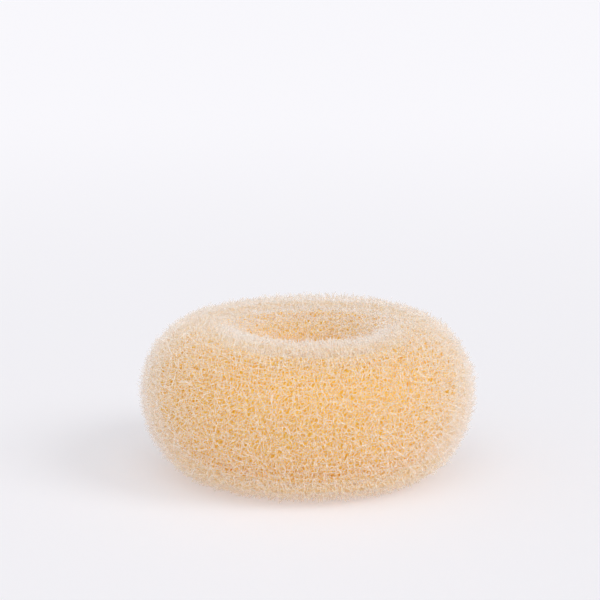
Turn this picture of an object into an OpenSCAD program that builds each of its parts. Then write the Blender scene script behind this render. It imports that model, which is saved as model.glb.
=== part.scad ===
// Hair donut: one length of stiff knitted net, rolled up into a soft ring.
// The outer turns of the roll stand clear of each other. The inner turns are
// pressed together, so they are one solid core that the loose turns grow out of.
// +Z is up, and the origin is on the surface that the ring rests on, at its middle.

/* [Ring] */
// Width across the ring at its belly
outer_d = 80; // [72:1:100]
// Height of the ring as it rests
ring_h = 37.5; // [30:0.5:46]
// Width of the hole at its throat
hole_d = 20; // [14:1:30]
// Where the crest lies on the way from the hole's throat to the belly
crest_share = 0.49; // [0.4:0.01:0.55]
// Where the belly lies on the way from the base to the crest
belly_share = 0.53; // [0.45:0.01:0.58]
// How far the soft roll is pressed flat where it rests
rest_sink = 0.8; // [0.5:0.1:2]

/* [Net] */
// Thickness of one layer of the knitted net
net_t = 1.2; // [0.8:0.1:1.6]
// Air between two turns of the net
turn_gap = 1.4; // [1:0.1:1.8]
// Turns that stand loose around the pressed core
loose_turns = 2; // [1:1:2]
// How far under the hole's throat the net's free edge lies, as an angle of the roll
edge_drop = 45; // [30:15:60]

/* [Roundness] */
// Squareness of the roll on its outer side, where 2 is an ellipse
belly_power = 1.9; // [1.8:0.1:2.6]
// Squareness of the roll on the side of the hole
hole_power = 2; // [1.8:0.1:3]

/* [Hidden] */

outer_r = outer_d / 2;
hole_r = hole_d / 2;
turn_pitch = net_t + turn_gap;

// Facets along one turn of the roll, and sections round the ring
turn_steps = 24;
ring_steps = 40;

// The soft ring isn't quite round. Each row is a place round the ring, with the
// reach of the belly, the height of the crest and the width of the hole there,
// as shares of the outer radius, the ring's height and the hole's radius. The
// rows are evenly spaced.
REACH = 1;
CREST = 2;
HOLE = 3;
bumps = [
    [0, 1, 0.992, 1.03],
    [45, 0.994, 1, 1.01],
    [90, 0.99, 0.994, 0.98],
    [135, 0.997, 0.988, 1],
    [180, 1, 0.994, 1.02],
    [225, 1.004, 1, 0.99],
    [270, 0.99, 0.99, 0.97],
    [315, 0.998, 0.984, 1.01],
];

// One smooth value between two rows, bent towards the rows on either side of them
function between(before, start, end, after, share) =
    start
    + share * (end - before) / 2
    + share * share * (before - 2.5 * start + 2 * end - after / 2)
    + share * share * share * (1.5 * (start - end) + (after - before) / 2);

// A column of the table at any angle round the ring
function bump(column, ring_angle) =
    let (
        place = ring_angle / 360 * len(bumps),
        row = floor(place),
        pick = function (step) bumps[(row + step + len(bumps)) % len(bumps)][column]
    )
    between(pick(-1), pick(0), pick(1), pick(2), place - row);

function rounded(share, power) = sign(share) * pow(abs(share), 2 / power);

function eased(share) = share * share * (3 - 2 * share);

// The roll's angle runs from the belly over the crest and the throat to the base.
// The net starts at its free edge low in the hole, and goes round the base, the belly
// and the crest to the throat. From there it dives under the edge to the next turn.
THROAT_ANGLE = 180;
edge_angle = THROAT_ANGLE + edge_drop;
dive_start = (360 + THROAT_ANGLE - edge_angle) / 360;

// How deep the net's outer face lies in the roll, so many turns from the free edge
function turn_inset(turns) =
    let (part = turns - floor(turns), dive = max(part - dive_start, 0) / (1 - dive_start))
    turn_pitch * (floor(turns) + eased(dive));

// A point of the roll's outline, taken in by an inset, as distance from the axis and height
function roll_point(ring_angle, roll_angle, inset) =
    let (
        belly_r = outer_r * bump(REACH, ring_angle),
        throat_r = hole_r * bump(HOLE, ring_angle),
        crest_r = throat_r + crest_share * (belly_r - throat_r),
        crest_z = ring_h * bump(CREST, ring_angle),
        belly_z = ring_h * belly_share,
        outside = cos(roll_angle) >= 0,
        above = sin(roll_angle) >= 0,
        power = outside ? belly_power : hole_power,
        half_w = (outside ? belly_r - crest_r : crest_r - throat_r) - inset,
        half_h = (above ? crest_z - belly_z : belly_z + rest_sink) - inset,
        height = belly_z + half_h * rounded(sin(roll_angle), power)
    )
    [crest_r + half_w * rounded(cos(roll_angle), power), max(height, inset)];

// The roll cut through at one place: out along the net's outer face and once round
// the core, then back along the net's inner face to the free edge
net_end = turn_steps * loose_turns;
core_end = net_end + turn_steps;

function roll_section(ring_angle) =
    let (
        face = function (step, depth)
            let (turns = step / turn_steps)
            roll_point(ring_angle, edge_angle + 360 * turns, turn_inset(turns) + depth)
    )
    [
        for (step = [0 : core_end]) face(step, 0),
        for (step = [net_end : -1 : 0]) face(step, net_t)
    ];

function turned(section, ring_angle) =
    [for (p = section) [p[0] * cos(ring_angle), p[0] * sin(ring_angle), p[1]]];

module rolled_net() {
    ring_angles = [for (i = [0 : ring_steps - 1]) 360 * i / ring_steps];
    points = [for (angle = ring_angles) each turned(roll_section(angle), angle)];
    count = len(points) / ring_steps;
    at = function (i, k) (i % ring_steps) * count + k % count;
    faces = [
        for (i = [0 : ring_steps - 1], k = [0 : count - 1])
            each [
                [at(i, k), at(i, k + 1), at(i + 1, k + 1)],
                [at(i, k), at(i + 1, k + 1), at(i + 1, k)]
            ]
    ];
    color([0.93, 0.78, 0.58]) polyhedron(points, faces, convexity = 10);
}

rolled_net();
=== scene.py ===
# Hair donut bun maker: one length of stiff knitted net, rolled up into a soft ring.
# It lies on a plain pale floor. Everything is in the row's frame, in metres.
import math

import bpy
import numpy as np
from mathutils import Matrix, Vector
from mathutils.bvhtree import BVHTree


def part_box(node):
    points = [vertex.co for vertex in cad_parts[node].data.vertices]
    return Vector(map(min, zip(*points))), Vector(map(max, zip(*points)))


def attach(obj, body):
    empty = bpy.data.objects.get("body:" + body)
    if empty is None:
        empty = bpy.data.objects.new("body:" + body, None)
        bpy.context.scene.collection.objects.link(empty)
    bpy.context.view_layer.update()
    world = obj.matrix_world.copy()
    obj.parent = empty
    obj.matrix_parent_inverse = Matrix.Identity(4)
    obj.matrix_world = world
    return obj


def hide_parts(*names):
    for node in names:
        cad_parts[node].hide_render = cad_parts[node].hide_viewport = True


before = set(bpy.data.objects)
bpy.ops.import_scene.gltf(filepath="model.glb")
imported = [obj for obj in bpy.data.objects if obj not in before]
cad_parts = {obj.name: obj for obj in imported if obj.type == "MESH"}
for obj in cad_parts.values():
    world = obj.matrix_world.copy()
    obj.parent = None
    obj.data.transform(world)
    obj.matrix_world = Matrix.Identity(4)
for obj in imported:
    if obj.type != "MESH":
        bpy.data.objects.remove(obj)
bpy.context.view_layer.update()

# Camera. It looks down on the ring from the front, at the photograph's angle.
# Two small turns put the ring's middle where the photograph has it, low in the
# frame, so that the lens needs no shift.
FRAME_PX = 600
FOCAL_PX = 2010
SENSOR_MM = 36
RING_AT_PX = (308.0, 386.5)
CAMERA_DISTANCE = 0.48
CAMERA_ELEVATION = math.radians(14.8)
NEAREST_SEEN = 0.01
BELLY_SHARE = 0.53

ring_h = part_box("rolled_net")[1].z
belly_middle = Vector((0, 0, BELLY_SHARE * ring_h))
camera_data = bpy.data.cameras.new("camera")
camera_data.sensor_width = SENSOR_MM
camera_data.lens = SENSOR_MM * FOCAL_PX / FRAME_PX
camera_data.clip_start = NEAREST_SEEN
camera = bpy.data.objects.new("camera", camera_data)
camera.location = belly_middle + CAMERA_DISTANCE * Vector(
    (0, -math.cos(CAMERA_ELEVATION), math.sin(CAMERA_ELEVATION))
)
pitch = math.atan((RING_AT_PX[1] - FRAME_PX / 2) / FOCAL_PX)
yaw = math.atan((RING_AT_PX[0] - FRAME_PX / 2) / FOCAL_PX)
camera.rotation_euler = (math.pi / 2 - CAMERA_ELEVATION + pitch, 0, yaw)
bpy.context.scene.collection.objects.link(camera)
bpy.context.scene.camera = camera

# Outer turn of the net. The real ring is one tube of stiff knitted nylon, rolled up
# over itself, and this is the turn that one sees. Its surface comes first, then the
# knitting that is laid on the surface, then its yarn, and last its four bands.

# The surface is read from the ring's solid, once round the roll from the net's free
# edge to where it dives under that edge, and smoothed. Its UV map runs round the
# ring (U) and along the net (V). SURE_HIT, in mm, keeps rays from missing an edge.
MM = 0.001
CREST_SHARE = 0.49
RING_ROWS = 40
FINE_RING_ROWS = 160
ROLL_ROWS = 121
SMOOTHINGS = 8
SURE_HIT = 1e-4

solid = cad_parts["rolled_net"].data
solid_tree = BVHTree.FromPolygons(
    [v.co / MM for v in solid.vertices], [p.vertices for p in solid.polygons], epsilon=SURE_HIT
)
reaches = [v.co.xy.length for v in solid.vertices]
hole_r, outer_r = min(reaches), max(reaches)
roll_r = hole_r + CREST_SHARE * (outer_r - hole_r)


def roll_outline(ring_angle):
    """The net's outermost turn cut through at one place, as distances from the axis
    and heights at even steps, from the free edge to the end of the turn."""
    outwards = Vector((math.cos(ring_angle), math.sin(ring_angle), 0))
    middle = outwards * roll_r + Vector((0, 0, ring_h / 2))
    points = []
    for degree in range(360):
        angle = math.radians(degree + 0.5)
        ray = outwards * math.cos(angle) + Vector((0, 0, math.sin(angle)))
        start = roll_r / max(-math.cos(angle), roll_r / outer_r)
        point = solid_tree.ray_cast((middle + ray * start) / MM, -ray)[0] * MM
        points.append((point.xy.length, point.z))
    outline = np.array(points)
    depth = np.linalg.norm(outline - (roll_r, ring_h / 2), axis=1)
    free_edge = 1 + int(np.argmax(np.roll(depth, -1) - depth))
    outline = np.roll(outline, -free_edge, axis=0)
    steps = np.linalg.norm(np.diff(outline, axis=0), axis=1)
    along = np.concatenate([[0], np.cumsum(steps)])
    places = np.linspace(0, along[-1], ROLL_ROWS)
    return np.stack([np.interp(places, along, outline[:, k]) for k in (0, 1)], axis=1)


def roll_surface():
    """A mesh of the net's outermost turn with its UV map and its outward directions,
    and the length of net in it."""
    half_facet = math.pi / RING_ROWS
    rows = np.array([roll_outline((2 * i + 1) * half_facet) for i in range(RING_ROWS)])
    rows[:, :, 0] /= math.cos(half_facet)
    for _ in range(SMOOTHINGS):
        rows[:, 1:-1] = (rows[:, :-2] + 2 * rows[:, 1:-1] + rows[:, 2:]) / 4
    waves = np.fft.rfft(rows, axis=0)
    rows = np.fft.irfft(waves, n=FINE_RING_ROWS, axis=0) * FINE_RING_ROWS / RING_ROWS
    length = np.linalg.norm(np.diff(rows, axis=1), axis=2).sum(axis=1).mean()
    angles = 2 * math.pi * np.arange(FINE_RING_ROWS)[:, None] / FINE_RING_ROWS + half_facet
    radius, height = rows[:, :, 0], rows[:, :, 1]
    points = np.stack([radius * np.cos(angles), radius * np.sin(angles), height], axis=2)

    faces, uvs = [], []
    for i in range(FINE_RING_ROWS):
        for j in range(ROLL_ROWS - 1):
            corners = [(i, j), (i + 1, j), (i + 1, j + 1), (i, j + 1)]
            faces.append([(c % FINE_RING_ROWS) * ROLL_ROWS + r for c, r in corners])
            uvs += [(c / FINE_RING_ROWS, r / (ROLL_ROWS - 1)) for c, r in corners]
    mesh = bpy.data.meshes.new("roll_surface")
    mesh.from_pydata(points.reshape(-1, 3).tolist(), [], faces)
    net_uv = mesh.uv_layers.new(name="net_uv")
    net_uv.data.foreach_set("uv", np.array(uvs, np.float32).ravel())
    normals = np.zeros(len(mesh.vertices) * 3, np.float32)
    mesh.vertex_normals.foreach_get("vector", normals)
    outward = mesh.attributes.new("outward", "FLOAT_VECTOR", "POINT")
    outward.data.foreach_set("vector", normals)
    return mesh, length


surface_mesh, turn_length = roll_surface()

# The knitting. Each course of the net is one closed yarn round the ring, bent into
# loops that reach through those of the next course. The trees below lay the yarns
# on the surface, crinkle them as heat-set nylon is, and give them their thickness.
YARN_SIDES = 3
CRINKLE_DETAIL = 2.0
CRINKLE_MIDDLE = (0.5, 0.5, 0.5)
MOST_HALF_LOOPS = 4096.0


def node(tree, kind, inputs=None, **settings):
    """One new node, with its settings, and its inputs either linked or set."""
    made = tree.nodes.new(kind)
    for name, value in settings.items():
        setattr(made, name, value)
    for key, value in (inputs or {}).items():
        if isinstance(value, bpy.types.NodeSocket):
            tree.links.new(value, made.inputs[key])
        else:
            made.inputs[key].default_value = value
    return made


def calc(tree, operation, *values):
    """A sum, product or the like of sockets and numbers."""
    return node(tree, "ShaderNodeMath", dict(enumerate(values)), operation=operation).outputs[0]


def calc_vector(tree, operation, first, second):
    """A sum, product or the like of two vectors, part by part."""
    return node(
        tree, "ShaderNodeVectorMath", {0: first, 1: second}, operation=operation
    ).outputs[0]


def scaled(tree, vector, scale):
    """A vector made so many times as long."""
    return node(
        tree, "ShaderNodeVectorMath", {0: vector, "Scale": scale}, operation="SCALE"
    ).outputs[0]


def distance_from_axis(tree, point):
    """How far a point is from the upright line through the ring's middle."""
    level = calc_vector(tree, "MULTIPLY", point, (1, 1, 0))
    return node(tree, "ShaderNodeVectorMath", {0: level}, operation="LENGTH").outputs["Value"]


def add_sockets(tree, side, sockets):
    """A tree's named inputs or outputs, each with its kind."""
    for name, kind in sockets.items():
        tree.interface.new_socket(name, in_out=side, socket_type="NodeSocket" + kind)


def place_on_net():
    """A node group that turns a place on the net into a point: how far round the
    ring (0 to 1), how many turns of the roll from the free edge, and how deep."""
    tree = bpy.data.node_groups.new("place_on_net", "GeometryNodeTree")
    add_sockets(tree, "INPUT", {
        "Surface": "Geometry", "Round the ring": "Float", "Turns": "Float",
        "Depth": "Float", "Turn pitch": "Float",
    })
    add_sockets(tree, "OUTPUT", {"Point": "Vector"})
    given = node(tree, "NodeGroupInput").outputs
    whole_turns = calc(tree, "FLOOR", given["Turns"])
    place = node(tree, "ShaderNodeCombineXYZ", {
        "X": calc(tree, "FRACT", given["Round the ring"]),
        "Y": calc(tree, "SUBTRACT", given["Turns"], whole_turns),
    }).outputs[0]

    def kept_vector(name):
        """A vector that the surface keeps under a name."""
        return node(tree, "GeometryNodeInputNamedAttribute", {
            "Name": name,
        }, data_type="FLOAT_VECTOR").outputs[0]

    net_uv = kept_vector("net_uv")

    def sampled(value):
        """What the surface has of a value at the place."""
        return node(tree, "GeometryNodeSampleUVSurface", {
            "Mesh": given["Surface"], "Value": value, "UV Map": net_uv, "Sample UV": place,
        }, data_type="FLOAT_VECTOR").outputs[0]

    outward = kept_vector("outward")
    depth = calc(tree, "MULTIPLY_ADD", whole_turns, given["Turn pitch"], given["Depth"])
    point = calc_vector(
        tree, "SUBTRACT",
        sampled(node(tree, "GeometryNodeInputPosition").outputs[0]),
        scaled(tree, sampled(outward), depth),
    )
    node(tree, "NodeGroupOutput", {"Point": point})
    return tree


def knitted_courses():
    """A tree that knits a band of the net on the surface that it is given."""
    tree = bpy.data.node_groups.new("knitted_courses", "GeometryNodeTree")
    add_sockets(tree, "INPUT", {
        "Geometry": "Geometry", "First turn": "Float", "Last turn": "Float",
        "Courses": "Int", "Loop points": "Int", "Loop width": "Float", "Loop height": "Float",
        "Loop sway": "Float", "Loop lean": "Float", "Loop depth": "Float", "Turn pitch": "Float",
        "Net depth": "Float", "Crinkle": "Float", "Crinkle scale": "Float",
        "Unevenness": "Float", "Yarn radius": "Float", "Seed": "Int", "Yarn": "Material",
    })
    add_sockets(tree, "OUTPUT", {"Geometry": "Geometry"})
    given = node(tree, "NodeGroupInput").outputs
    on_net = place_on_net()

    def on_roll(around, turns, depth):
        """The point at a place on the net that is being knitted."""
        return node(tree, "GeometryNodeGroup", {
            "Surface": given["Geometry"], "Round the ring": around, "Turns": turns,
            "Depth": depth, "Turn pitch": given["Turn pitch"],
        }, node_tree=on_net).outputs[0]

    index = node(tree, "GeometryNodeInputIndex").outputs[0]
    course_height = calc(
        tree, "DIVIDE",
        calc(tree, "SUBTRACT", given["Last turn"], given["First turn"]), given["Courses"],
    )
    turns = calc(
        tree, "MULTIPLY_ADD", calc(tree, "ADD", index, 0.5), course_height, given["First turn"]
    )
    radius = distance_from_axis(tree, on_roll(0.0, turns, given["Net depth"]))
    loops = calc(
        tree, "ROUND",
        calc(tree, "DIVIDE", calc(tree, "MULTIPLY", radius, 2 * math.pi), given["Loop width"]),
    )
    course_starts = node(tree, "GeometryNodePoints", {"Count": given["Courses"]}).outputs[0]
    kept = node(tree, "GeometryNodeCaptureAttribute")
    kept.capture_items.new("INT", "Course")
    kept.capture_items.new("FLOAT", "Turns")
    kept.capture_items.new("FLOAT", "Loops")
    for key, value in {
        "Geometry": course_starts, "Course": index, "Turns": turns, "Loops": loops,
    }.items():
        tree.links.new(value, kept.inputs[key])
    course, turns, loops = (kept.outputs[name] for name in ("Course", "Turns", "Loops"))
    repeated = node(tree, "GeometryNodeDuplicateElements", {
        "Geometry": kept.outputs["Geometry"],
        "Amount": calc(tree, "MULTIPLY", loops, given["Loop points"]),
    }, domain="POINT")
    step = repeated.outputs["Duplicate Index"]

    loops_along = calc(tree, "DIVIDE", step, given["Loop points"])
    half_loop = calc(tree, "FLOOR", calc(tree, "MULTIPLY_ADD", loops_along, 2.0, 0.5))
    name_of_half = calc(tree, "MULTIPLY_ADD", course, MOST_HALF_LOOPS, half_loop)

    def random_number(lowest, highest, name, seed):
        """A number between the two, the same wherever the name is the same. The node
        has three sets of sockets with one name, and 2, 3 and 1 are the plain numbers."""
        return node(tree, "FunctionNodeRandomValue", {
            2: lowest, 3: highest, "ID": name, "Seed": seed,
        }, data_type="FLOAT").outputs[1]

    def uneven(seed):
        """A factor of about 1, the same over each half of a loop."""
        spread = given["Unevenness"]
        return random_number(
            calc(tree, "SUBTRACT", 1.0, spread), calc(tree, "ADD", 1.0, spread),
            name_of_half, calc(tree, "ADD", given["Seed"], float(seed)),
        )

    stagger = random_number(0.0, 1.0, course, given["Seed"])
    phase = calc(tree, "MULTIPLY", loops_along, 2 * math.pi)
    twice = calc(tree, "MULTIPLY", phase, 2.0)
    sway = calc(
        tree, "MULTIPLY", calc(tree, "SINE", twice),
        calc(tree, "MULTIPLY", given["Loop sway"], uneven(1)),
    )
    lean = calc(tree, "MULTIPLY_ADD", calc(tree, "COSINE", phase), given["Loop lean"], sway)
    loops_round = calc(tree, "ADD", calc(tree, "ADD", loops_along, stagger), lean)
    rise = calc(
        tree, "MULTIPLY", calc(tree, "COSINE", phase),
        calc(tree, "MULTIPLY", given["Loop height"], uneven(2)),
    )
    depth = calc(
        tree, "MULTIPLY_ADD", calc(tree, "COSINE", twice),
        calc(tree, "MULTIPLY", given["Loop depth"], uneven(3)), given["Net depth"],
    )
    laid = on_roll(
        calc(tree, "DIVIDE", loops_round, loops),
        calc(tree, "MULTIPLY_ADD", rise, course_height, turns), depth,
    )
    noise = node(tree, "ShaderNodeTexNoise", {
        "Vector": laid, "W": given["Seed"], "Scale": given["Crinkle scale"],
        "Detail": CRINKLE_DETAIL,
    }, noise_dimensions="4D").outputs["Color"]
    crinkle = scaled(tree, calc_vector(tree, "SUBTRACT", noise, CRINKLE_MIDDLE), given["Crinkle"])
    crinkled = calc_vector(tree, "ADD", laid, crinkle)
    split = node(tree, "ShaderNodeSeparateXYZ", {0: crinkled}).outputs
    above_floor = node(tree, "ShaderNodeCombineXYZ", {
        "X": split["X"], "Y": split["Y"],
        "Z": calc(tree, "MAXIMUM", split["Z"], given["Yarn radius"]),
    }).outputs[0]
    moved = node(tree, "GeometryNodeSetPosition", {
        "Geometry": repeated.outputs["Geometry"], "Position": above_floor,
    }).outputs[0]
    yarns = node(tree, "GeometryNodePointsToCurves", {
        "Points": moved, "Curve Group ID": course, "Weight": step,
    }).outputs[0]
    closed = node(tree, "GeometryNodeSetSplineCyclic", {
        "Geometry": yarns, "Cyclic": True,
    }).outputs[0]
    profile = node(tree, "GeometryNodeCurvePrimitiveCircle", {
        "Resolution": YARN_SIDES, "Radius": given["Yarn radius"],
    }).outputs[0]
    tubes = node(tree, "GeometryNodeCurveToMesh", {
        "Curve": closed, "Profile Curve": profile,
    }).outputs[0]
    flat = node(tree, "GeometryNodeSetShadeSmooth", {
        "Geometry": tubes, "Shade Smooth": False,
    }).outputs[0]
    real = node(tree, "GeometryNodeRealizeInstances", {"Geometry": flat}).outputs[0]
    finished = node(tree, "GeometryNodeSetMaterial", {
        "Geometry": real, "Material": given["Yarn"],
    }).outputs[0]
    node(tree, "NodeGroupOutput", {"Geometry": finished})
    return tree


knit_tree = knitted_courses()


def knit(name, **sizes):
    """A band of the net as a plain mesh of its own."""
    made = bpy.data.objects.new(name, surface_mesh)
    bpy.context.scene.collection.objects.link(made)
    knitting = made.modifiers.new("knitting", "NODES")
    knitting.node_group = knit_tree
    for item in knit_tree.interface.items_tree:
        value = sizes.get(item.name.lower().replace(" ", "_"))
        if item.in_out == "INPUT" and value is not None:
            knitting[item.identifier] = value
    bpy.context.view_layer.update()
    evaluated = made.evaluated_get(bpy.context.evaluated_depsgraph_get())
    mesh = bpy.data.meshes.new_from_object(evaluated)
    made.modifiers.remove(knitting)
    made.data = mesh
    mesh.name = name
    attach(made, "root")
    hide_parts("rolled_net")


# The yarn is clear nylon with a cream tint. A single layer is pale and lets part of
# what lies behind it show, and the turns under it are painted golden, as painted light
# for light that has passed through more nylon. The group varies the tone along each
# strand, and paints the net round the top of the hole paler, as painted light for the
# bright upper wall of the hole.
PATCH_SCALE = 70.0
PATCH_DETAIL = 3.0
STRAND_SCALE = 900.0
STRAND_DETAIL = 2.0
TONE_SWING = 0.9
TONE_START = -0.4
PAINTED_LIGHT_FROM_AXIS = (24.5 * MM, 19.5 * MM)
PAINTED_LIGHT_HEIGHTS = (22.5 * MM, 34.0 * MM)
YARN_ROUGHNESS = 0.45
ROUGHNESS_SWING = 0.3
STRAND_BUMP = 0.2
STRAND_BUMP_HEIGHT = 0.1 * MM


def mixed_colour(tree, share, first, second):
    """From the first colour to the second. The Mix node has several sets of sockets
    with one name, and 6, 7 and 2 are the colours."""
    return node(tree, "ShaderNodeMix", {
        "Factor": share, 6: first, 7: second,
    }, data_type="RGBA", clamp_factor=True).outputs[2]


def smooth_share(tree, value, start, end):
    """0 where the value is at the start, 1 at the end, and smooth between them."""
    return node(tree, "ShaderNodeMapRange", {
        "Value": value, "From Min": start, "From Max": end,
    }, interpolation_type="SMOOTHSTEP").outputs[0]


def yarn_tone():
    """A shader group: the yarn's colour and roughness, a little different everywhere."""
    tree = bpy.data.node_groups.new("yarn_tone", "ShaderNodeTree")
    add_sockets(tree, "INPUT", {
        "Colour": "Color", "Deep colour": "Color", "Painted light colour": "Color",
        "Patch scale": "Float", "Strand scale": "Float", "Roughness": "Float",
    })
    add_sockets(tree, "OUTPUT", {"Colour": "Color", "Roughness": "Float", "Height": "Float"})
    given = node(tree, "NodeGroupInput").outputs
    place = node(tree, "ShaderNodeTexCoord").outputs["Object"]
    patches = node(tree, "ShaderNodeTexNoise", {
        "Vector": place, "Scale": given["Patch scale"], "Detail": PATCH_DETAIL,
    }).outputs["Fac"]
    strands = node(tree, "ShaderNodeTexNoise", {
        "Vector": place, "Scale": given["Strand scale"], "Detail": STRAND_DETAIL,
    }).outputs["Fac"]
    share = calc(
        tree, "MULTIPLY_ADD", patches, TONE_SWING,
        calc(tree, "MULTIPLY_ADD", strands, TONE_SWING, TONE_START),
    )
    mixed = mixed_colour(tree, share, given["Colour"], given["Deep colour"])
    height = node(tree, "ShaderNodeSeparateXYZ", {0: place}).outputs["Z"]
    # Painted light: paler near the axis and high up, where the hole's upper wall is bright.
    painted_light_share = calc(
        tree, "MULTIPLY",
        smooth_share(tree, distance_from_axis(tree, place), *PAINTED_LIGHT_FROM_AXIS),
        smooth_share(tree, height, *PAINTED_LIGHT_HEIGHTS),
    )
    painted_light_tone = mixed_colour(tree, painted_light_share, mixed, given["Painted light colour"])
    lowest = calc(tree, "SUBTRACT", given["Roughness"], ROUGHNESS_SWING / 2)
    rough = calc(tree, "MULTIPLY_ADD", strands, ROUGHNESS_SWING, lowest)
    node(tree, "NodeGroupOutput", {"Colour": painted_light_tone, "Roughness": rough, "Height": strands})
    return tree


tone_group = yarn_tone()


def yarn(name, colour, deep_colour, painted_light_colour, shine_through=0.0, solidity=1.0):
    """The finish of one turn of the net. Shine-through is the share of light that
    spreads on through a strand, and solidity the share that the strand stops."""
    material = bpy.data.materials.new(name)
    material.use_nodes = True
    tree = material.node_tree
    principled = tree.nodes["Principled BSDF"]
    tone = node(tree, "ShaderNodeGroup", {
        "Colour": (*colour, 1), "Deep colour": (*deep_colour, 1),
        "Painted light colour": (*painted_light_colour, 1), "Patch scale": PATCH_SCALE,
        "Strand scale": STRAND_SCALE, "Roughness": YARN_ROUGHNESS,
    }, node_tree=tone_group).outputs
    bump = node(tree, "ShaderNodeBump", {
        "Height": tone["Height"], "Strength": STRAND_BUMP, "Distance": STRAND_BUMP_HEIGHT,
    })
    tree.links.new(tone["Colour"], principled.inputs["Base Color"])
    tree.links.new(tone["Roughness"], principled.inputs["Roughness"])
    tree.links.new(bump.outputs[0], principled.inputs["Normal"])
    principled.inputs["Alpha"].default_value = solidity
    if shine_through:
        through = node(tree, "ShaderNodeBsdfTranslucent", {"Color": tone["Colour"]})
        body = node(tree, "ShaderNodeMixShader", {
            0: shine_through, 1: principled.outputs[0], 2: through.outputs[0],
        })
        tree.links.new(body.outputs[0], tree.nodes["Material Output"].inputs["Surface"])
    return material


# The bands are one net, made one after another from the free edge in the bottom of
# the hole, clear of the turn under it. Its loops narrow towards the hole. The ring's
# own weight presses the base together, so the yarn is more solid and golden there.
TURN_PITCH = 2.6 * MM
NET_MIDDLE = 2.1 * MM
LOOP_SIZES = {
    "loop_height": 0.62, "loop_sway": 0.25, "loop_lean": 0.25, "loop_depth": 0.35 * MM,
    "turn_pitch": TURN_PITCH, "net_depth": NET_MIDDLE, "crinkle": 2.8 * MM,
    "crinkle_scale": 700.0, "unevenness": 0.4,
}
OUTER_COURSE = 1.2 * MM
OUTER_YARN_RADIUS = 0.11 * MM

outer_yarn = yarn(
    "outer_yarn", colour=(0.99, 0.95, 0.885), deep_colour=(0.99, 0.93, 0.80),
    painted_light_colour=(0.99, 0.975, 0.97), shine_through=0.25, solidity=0.31,
)
pressed_yarn = yarn(
    "pressed_yarn", colour=(0.99, 0.925, 0.74), deep_colour=(0.99, 0.90, 0.65),
    painted_light_colour=(0.99, 0.925, 0.74), shine_through=0.2, solidity=0.5,
)
for band, first, last, loop_width, finish in (
    ("outer_net_base", 0.0, 0.25, 1.55 * MM, pressed_yarn),
    ("outer_net_side", 0.25, 0.5, 1.4 * MM, outer_yarn),
    ("outer_net_top", 0.5, 0.75, 1.3 * MM, outer_yarn),
    ("outer_net_hole", 0.75, 1.0, 1.0 * MM, outer_yarn),
):
    knit(
        band, first_turn=first, last_turn=last, loop_points=7, loop_width=loop_width,
        courses=round((last - first) * turn_length / OUTER_COURSE),
        yarn_radius=OUTER_YARN_RADIUS, seed=1, yarn=finish, **LOOP_SIZES,
    )

# Second turn. It is the same net going on round the roll, seen through the outer
# one. Its golden colour is painted light: the same nylon is coloured more golden to
# stand for light that has passed more nylon on its way back.
SECOND_COURSE = 1.25 * MM
SECOND_LOOP_WIDTH = 1.45 * MM
SECOND_YARN_RADIUS = 0.16 * MM

second_length = turn_length - 2 * math.pi * TURN_PITCH
second_yarn = yarn(
    "second_yarn", colour=(0.97, 0.74, 0.18), deep_colour=(0.965, 0.69, 0.12),
    painted_light_colour=(0.99, 0.93, 0.72),
)
for band, first, last in (("second_net_outside", 1.0, 1.5), ("second_net_inside", 1.5, 2.0)):
    knit(
        band, first_turn=first, last_turn=last, loop_points=4, loop_width=SECOND_LOOP_WIDTH,
        courses=round((last - first) * second_length / SECOND_COURSE),
        yarn_radius=SECOND_YARN_RADIUS, seed=2, yarn=second_yarn, **LOOP_SIZES,
    )

# Stray loops. Thin crinkled loops of the outer turn stand up from it all over and
# blur its outline. They are the same nylon, so thin that they look almost white.
# Low down they lie flatter, and towards the hole they stand closer together.
STRAY_SIZES = {
    "loop_height": 0.7, "loop_sway": 0.25, "loop_lean": -0.2, "turn_pitch": TURN_PITCH,
    "net_depth": 0.7 * MM, "crinkle": 4.0 * MM, "crinkle_scale": 950.0, "unevenness": 0.8,
}
STRAY_RADIUS = 0.075 * MM

low_stray_yarn = yarn(
    "low_stray_yarn", colour=(0.985, 0.945, 0.87), deep_colour=(0.985, 0.935, 0.83),
    painted_light_colour=(0.985, 0.945, 0.87), solidity=0.5,
)
stray_yarn = yarn(
    "stray_yarn", colour=(0.985, 0.955, 0.93), deep_colour=(0.985, 0.945, 0.90),
    painted_light_colour=(0.99, 0.98, 0.98), solidity=0.37,
)
for band, first, last, pitch, stand, finish in (
    ("stray_loops_base", 0.1, 0.235, 1.35 * MM, 0.6 * MM, low_stray_yarn),
    ("stray_loops_side", 0.23, 0.55, 1.35 * MM, 0.8 * MM, stray_yarn),
    ("stray_loops_crest", 0.55, 0.8, 1.2 * MM, 0.7 * MM, stray_yarn),
    ("stray_loops_hole", 0.8, 1.0, 0.95 * MM, 0.7 * MM, stray_yarn),
):
    knit(
        band, first_turn=first, last_turn=last, loop_points=5, loop_width=pitch,
        courses=round((last - first) * turn_length / pitch), loop_depth=stand,
        yarn_radius=STRAY_RADIUS, seed=4, yarn=finish, **STRAY_SIZES,
    )

# Core. The innermost turns are pressed together into one firm roll with the ridges
# of their courses on it. It follows the roll's surface all round, deep under it.
CORE_DEPTH = 6.2 * MM
CORE_RIDGES = 42
RIDGE_POINTS = 3
RIDGE_HEIGHT = 0.25 * MM
CORE_SMOOTHINGS = 32


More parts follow.
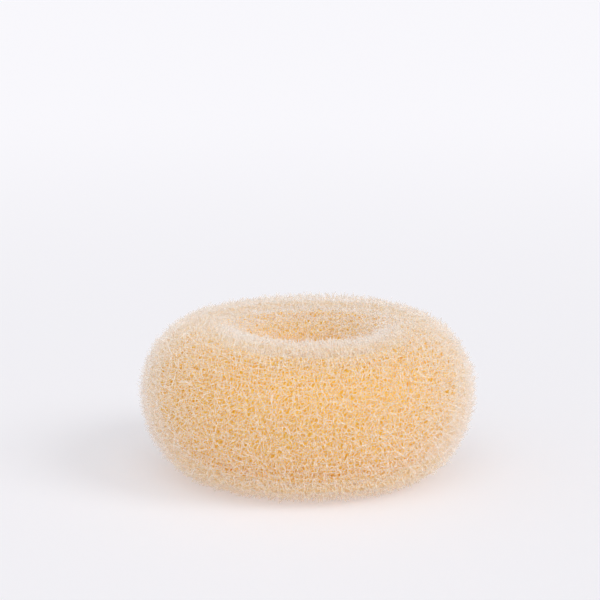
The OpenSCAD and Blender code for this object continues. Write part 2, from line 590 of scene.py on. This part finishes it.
def core_mesh():
    """A closed ring under the net: the roll's outline at each place, drawn inwards."""
    points = np.zeros(FINE_RING_ROWS * ROLL_ROWS * 3)
    surface_mesh.vertices.foreach_get("co", points)
    rows = points.reshape(FINE_RING_ROWS, ROLL_ROWS, 3)
    around = CORE_RIDGES * RIDGE_POINTS
    angles = 2 * math.pi * np.arange(around) / around
    ridges = RIDGE_HEIGHT * np.cos(CORE_RIDGES * angles)
    rings = []
    for row in rows:
        side = np.hypot(row[:, 0], row[:, 1]) - roll_r
        rise = row[:, 2] - ring_h / 2
        seen_at = np.arctan2(rise, side)
        depths = np.interp(angles, seen_at, np.hypot(side, rise), period=2 * math.pi)
        for _ in range(CORE_SMOOTHINGS):
            depths = (np.roll(depths, 1) + 2 * depths + np.roll(depths, -1)) / 4
        depths = depths - CORE_DEPTH + ridges
        ring_angle = math.atan2(row[0, 1], row[0, 0])
        radii = roll_r + depths * np.cos(angles)
        heights = ring_h / 2 + depths * np.sin(angles)
        rings.append(np.stack(
            [radii * math.cos(ring_angle), radii * math.sin(ring_angle), heights], axis=1
        ))
    faces = []
    for i in range(FINE_RING_ROWS):
        for j in range(around):
            next_i, next_j = (i + 1) % FINE_RING_ROWS, (j + 1) % around
            corners = ((i, j), (next_i, j), (next_i, next_j), (i, next_j))
            faces.append([ring * around + point for ring, point in corners])
    mesh = bpy.data.meshes.new("pressed_core")
    mesh.from_pydata(np.concatenate(rings).tolist(), [], faces)
    mesh.shade_smooth()
    return mesh


core = bpy.data.objects.new("pressed_core", core_mesh())
bpy.context.scene.collection.objects.link(core)
# Its golden colour is painted light, for light that has passed through many layers of nylon.
core.data.materials.append(yarn(
    "core_yarn", colour=(0.96, 0.71, 0.14), deep_colour=(0.955, 0.66, 0.10),
    painted_light_colour=(0.96, 0.71, 0.14),
))
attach(core, "root")
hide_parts("rolled_net")

# Floor and light. The floor is plain and pale, and gives off part of its own light,
# a little more far away. The sky is brightest at the left, in front and above. One
# broad light shines from the right, and a softer one from the front and above.
FLOOR_REACH = 6.0
FLOOR_COLOUR = (0.55, 0.543, 0.563, 1)
FLOOR_ROUGHNESS = 0.8
NEAR_GLOW = (0.344, 0.342, 0.362, 1)
FAR_GLOW = (0.415, 0.413, 0.434, 1)
GLOW_CHANGES = (0.05, 0.7)
SKY_COLOUR = (1.0, 1.0, 1.0, 1)
SKY_BRIGHT_SIDE = (-0.32, -0.5, 0.64)
SKY_SWING = 0.48
SKY_STRENGTH = 0.388
LIGHT_BOUNCES = 32

floor_mesh = bpy.data.meshes.new("floor")
floor_mesh.from_pydata([
    (-FLOOR_REACH, -FLOOR_REACH, 0), (FLOOR_REACH, -FLOOR_REACH, 0),
    (FLOOR_REACH, FLOOR_REACH, 0), (-FLOOR_REACH, FLOOR_REACH, 0),
], [], [(0, 1, 2, 3)])
floor = bpy.data.objects.new("floor", floor_mesh)
bpy.context.scene.collection.objects.link(floor)
floor_paint = bpy.data.materials.new("floor_paint")
floor_paint.use_nodes = True
paint_tree = floor_paint.node_tree
paint = paint_tree.nodes["Principled BSDF"]
floor_place = node(paint_tree, "ShaderNodeTexCoord").outputs["Object"]
how_far = node(paint_tree, "ShaderNodeSeparateXYZ", {0: floor_place}).outputs["Y"]
floor_glow = mixed_colour(
    paint_tree, smooth_share(paint_tree, how_far, *GLOW_CHANGES), NEAR_GLOW, FAR_GLOW
)
paint.inputs["Base Color"].default_value = FLOOR_COLOUR
paint_tree.links.new(floor_glow, paint.inputs["Emission Color"])
paint.inputs["Emission Strength"].default_value = 1.0
paint.inputs["Roughness"].default_value = FLOOR_ROUGHNESS
floor_mesh.materials.append(floor_paint)

sky = bpy.data.worlds.new("sky")
sky.use_nodes = True
sky_tree = sky.node_tree
sky_place = node(sky_tree, "ShaderNodeTexCoord").outputs["Generated"]
bright_share = node(sky_tree, "ShaderNodeVectorMath", {
    0: sky_place, 1: SKY_BRIGHT_SIDE,
}, operation="DOT_PRODUCT").outputs["Value"]
sky_strength = calc(sky_tree, "MULTIPLY_ADD", bright_share, SKY_SWING, SKY_STRENGTH)
background = sky_tree.nodes["Background"]
background.inputs["Color"].default_value = SKY_COLOUR
sky_tree.links.new(sky_strength, background.inputs["Strength"])
bpy.context.scene.world = sky


def soft_sun(name, width, energy, place):
    """A broad light, so many degrees wide, that shines from a place onto the ring."""
    light = bpy.data.lights.new(name, "SUN")
    light.angle = math.radians(width)
    light.energy = energy
    made = bpy.data.objects.new(name, light)
    made.location = place
    made.rotation_euler = (belly_middle - Vector(place)).to_track_quat("-Z", "Y").to_euler()
    bpy.context.scene.collection.objects.link(made)


soft_sun("key", width=30, energy=1.11, place=(0.5, -0.22, 0.46))
soft_sun("fill", width=50, energy=0.56, place=(-0.05, -0.4, 0.7))

# Light passes through many strands of the net on its way out, so it may bounce often.
scene = bpy.context.scene
scene.view_settings.view_transform = "Standard"
scene.cycles.max_bounces = LIGHT_BOUNCES
scene.cycles.transparent_max_bounces = LIGHT_BOUNCES
scene.cycles.diffuse_bounces = LIGHT_BOUNCES
scene.cycles.transmission_bounces = LIGHT_BOUNCES
